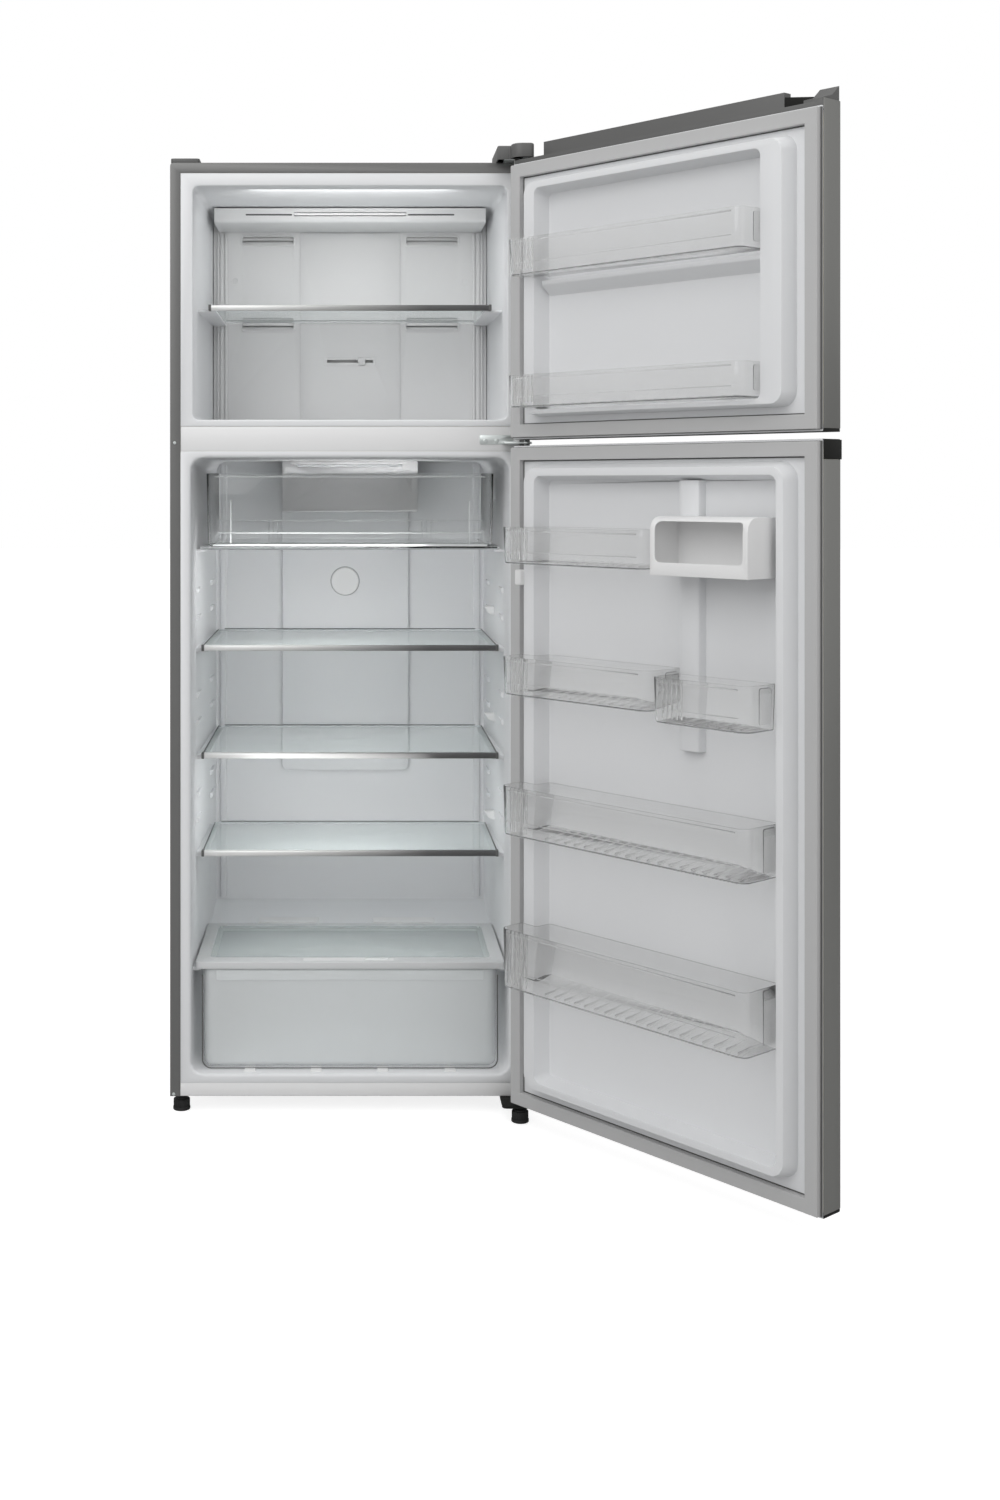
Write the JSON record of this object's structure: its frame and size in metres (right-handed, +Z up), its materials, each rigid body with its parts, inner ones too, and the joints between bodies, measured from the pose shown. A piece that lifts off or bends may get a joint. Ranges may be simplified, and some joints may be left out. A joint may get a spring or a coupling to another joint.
{
  "type": "top freezer refrigerator",
  "caption": "Refrigerator with a freezer compartment above the fresh food compartment, its doors open on right-hand hinges, with glass shelves, clear drawers and clear door bins.",
  "frame": {"origin": "floor level, at the centre of the rectangle of floor that the refrigerator covers with both doors open; the cabinet's centre line is at X = -226.7 mm and its front flange at Y = -27.5 mm", "axes": "+Z up, +Y from the front of the cabinet to its back, +X to the right of someone facing the open refrigerator"},
  "size_m": [1.1523, 1.233, 1.878],
  "materials": {
    "shell_steel": "satin",
    "door_steel": "satin",
    "galvanised": "satin",
    "zinc": "satin",
    "liner_white": "satin",
    "trim_white": "satin",
    "foam": "matte",
    "gasket_grey": "matte",
    "cap_black": "satin",
    "cap_grey": "satin",
    "clear": "gloss",
    "shelf_glass": "gloss",
    "satin_metal": "satin",
    "rubber_black": "matte",
    "coil_metal": "satin",
    "compressor_black": "satin"
  },
  "bodies": {
    "cabinet": {"cabinet_shell": "shell_steel", "back_panel": "galvanised", "base_panel": "trim_white", "insulation_foam": "foam", "freezer_liner": "liner_white", "fridge_liner": "liner_white", "mullion_plate": "trim_white", "evaporator_cover": "trim_white", "freezer_light_housing": "trim_white", "evaporator_coil": "coil_metal", "fridge_duct_panel": "liner_white", "control_cover": "trim_white", "chiller_shelf": "clear", "crisper_cover": "trim_white", "top_hinge": "zinc", "top_hinge_cover": "cap_grey", "middle_hinge": "zinc", "lower_hinge": "zinc", "compressor": "compressor_black", "machine_cover": "galvanised", "power_inlet": "cap_black"},
    "freezer_door": {"freezer_door_skin": "door_steel", "freezer_door_foam": "foam", "freezer_door_liner": "liner_white", "freezer_door_gasket": "gasket_grey", "freezer_door_top_cap": "cap_grey", "freezer_door_bottom_cap": "cap_black", "freezer_bin_upper": "clear", "freezer_bin_lower": "clear"},
    "fridge_door": {"fridge_door_skin": "door_steel", "fridge_door_foam": "foam", "fridge_door_liner": "liner_white", "fridge_door_gasket": "gasket_grey", "fridge_door_top_cap": "cap_black", "fridge_door_bottom_cap": "cap_black", "door_bin_top": "clear", "door_bin_middle_left": "clear", "door_bin_middle_right": "clear", "door_bin_wide": "clear", "bottle_bin": "clear", "dairy_box": "trim_white"},
    "freezer_shelf": {"freezer_shelf_glass": "shelf_glass", "freezer_shelf_trim": "satin_metal"},
    "fridge_shelf_top": {"fridge_shelf_top_glass": "shelf_glass", "fridge_shelf_top_trim": "satin_metal"},
    "fridge_shelf_middle": {"fridge_shelf_middle_glass": "shelf_glass", "fridge_shelf_middle_trim": "satin_metal"},
    "fridge_shelf_bottom": {"fridge_shelf_bottom_glass": "shelf_glass", "fridge_shelf_bottom_trim": "satin_metal"},
    "chiller_drawer": {"chiller_drawer": "clear"},
    "crisper_drawer": {"crisper_drawer": "clear"},
    "humidity_slider": {"humidity_slider": "trim_white"},
    "freezer_air_slider": {"freezer_air_slider": "trim_white"},
    "duct_slider_left": {"duct_slider_left": "cap_black"},
    "duct_slider_right": {"duct_slider_right": "cap_black"},
    "evaporator_fan": {"evaporator_fan": "cap_black"},
    "front_left_foot": {"front_left_foot": "rubber_black"},
    "front_right_foot": {"front_right_foot": "rubber_black"},
    "rear_left_roller": {"rear_left_roller": "rubber_black"},
    "rear_right_roller": {"rear_right_roller": "rubber_black"}
  },
  "joints": [
    {"name": "freezer_door_hinge", "type": "hinge", "parent": "cabinet", "child": "freezer_door", "pos_m": [0.11328, -0.06653, 1.573], "axis": [0, 0, 1], "range_deg": [-130, 0]},
    {"name": "fridge_door_hinge", "type": "hinge", "parent": "cabinet", "child": "fridge_door", "pos_m": [0.11328, -0.06653, 0.668], "axis": [0, 0, 1], "range_deg": [-130, 0]},
    {"name": "freezer_shelf_slide", "type": "slide", "parent": "cabinet", "child": "freezer_shelf", "axis": [0, -1, 0], "range_m": [0, 0.25]},
    {"name": "fridge_shelf_top_slide", "type": "slide", "parent": "cabinet", "child": "fridge_shelf_top", "axis": [0, -1, 0], "range_m": [0, 0.2]},
    {"name": "fridge_shelf_middle_slide", "type": "slide", "parent": "cabinet", "child": "fridge_shelf_middle", "axis": [0, -1, 0], "range_m": [0, 0.2]},
    {"name": "fridge_shelf_bottom_slide", "type": "slide", "parent": "cabinet", "child": "fridge_shelf_bottom", "axis": [0, -1, 0], "range_m": [0, 0.2]},
    {"name": "chiller_drawer_slide", "type": "slide", "parent": "cabinet", "child": "chiller_drawer", "axis": [0, -1, 0], "range_m": [0, 0.2]},
    {"name": "crisper_drawer_slide", "type": "slide", "parent": "cabinet", "child": "crisper_drawer", "axis": [0, -1, 0], "range_m": [0, 0.3]},
    {"name": "humidity_slider_slide", "type": "slide", "parent": "cabinet", "child": "humidity_slider", "axis": [1, 0, 0], "range_m": [-0.11, 0.004]},
    {"name": "freezer_air_slider_slide", "type": "slide", "parent": "cabinet", "child": "freezer_air_slider", "axis": [1, 0, 0], "range_m": [-0.07, 0.02]},
    {"name": "duct_slider_left_slide", "type": "slide", "parent": "cabinet", "child": "duct_slider_left", "axis": [1, 0, 0], "range_m": [-0.048, 0.038]},
    {"name": "duct_slider_right_slide", "type": "slide", "parent": "cabinet", "child": "duct_slider_right", "axis": [1, 0, 0], "range_m": [-0.04, 0.048]},
    {"name": "evaporator_fan_spin", "type": "hinge", "parent": "cabinet", "child": "evaporator_fan", "pos_m": [-0.22672, 0.40047, 1.655], "axis": [0, 1, 0], "continuous": true},
    {"name": "front_left_foot_turn", "type": "hinge", "parent": "cabinet", "child": "front_left_foot", "pos_m": [-0.55672, 0.00247, 0.015], "axis": [0, 0, 1], "continuous": true},
    {"name": "front_right_foot_turn", "type": "hinge", "parent": "cabinet", "child": "front_right_foot", "pos_m": [0.10028, -0.06653, 0.015], "axis": [0, 0, 1], "continuous": true},
    {"name": "rear_left_roller_spin", "type": "hinge", "parent": "cabinet", "child": "rear_left_roller", "pos_m": [-0.54872, 0.57047, 0.0168], "axis": [1, 0, 0], "continuous": true},
    {"name": "rear_right_roller_spin", "type": "hinge", "parent": "cabinet", "child": "rear_right_roller", "pos_m": [0.09528, 0.57047, 0.0168], "axis": [1, 0, 0], "continuous": true}
  ]
}
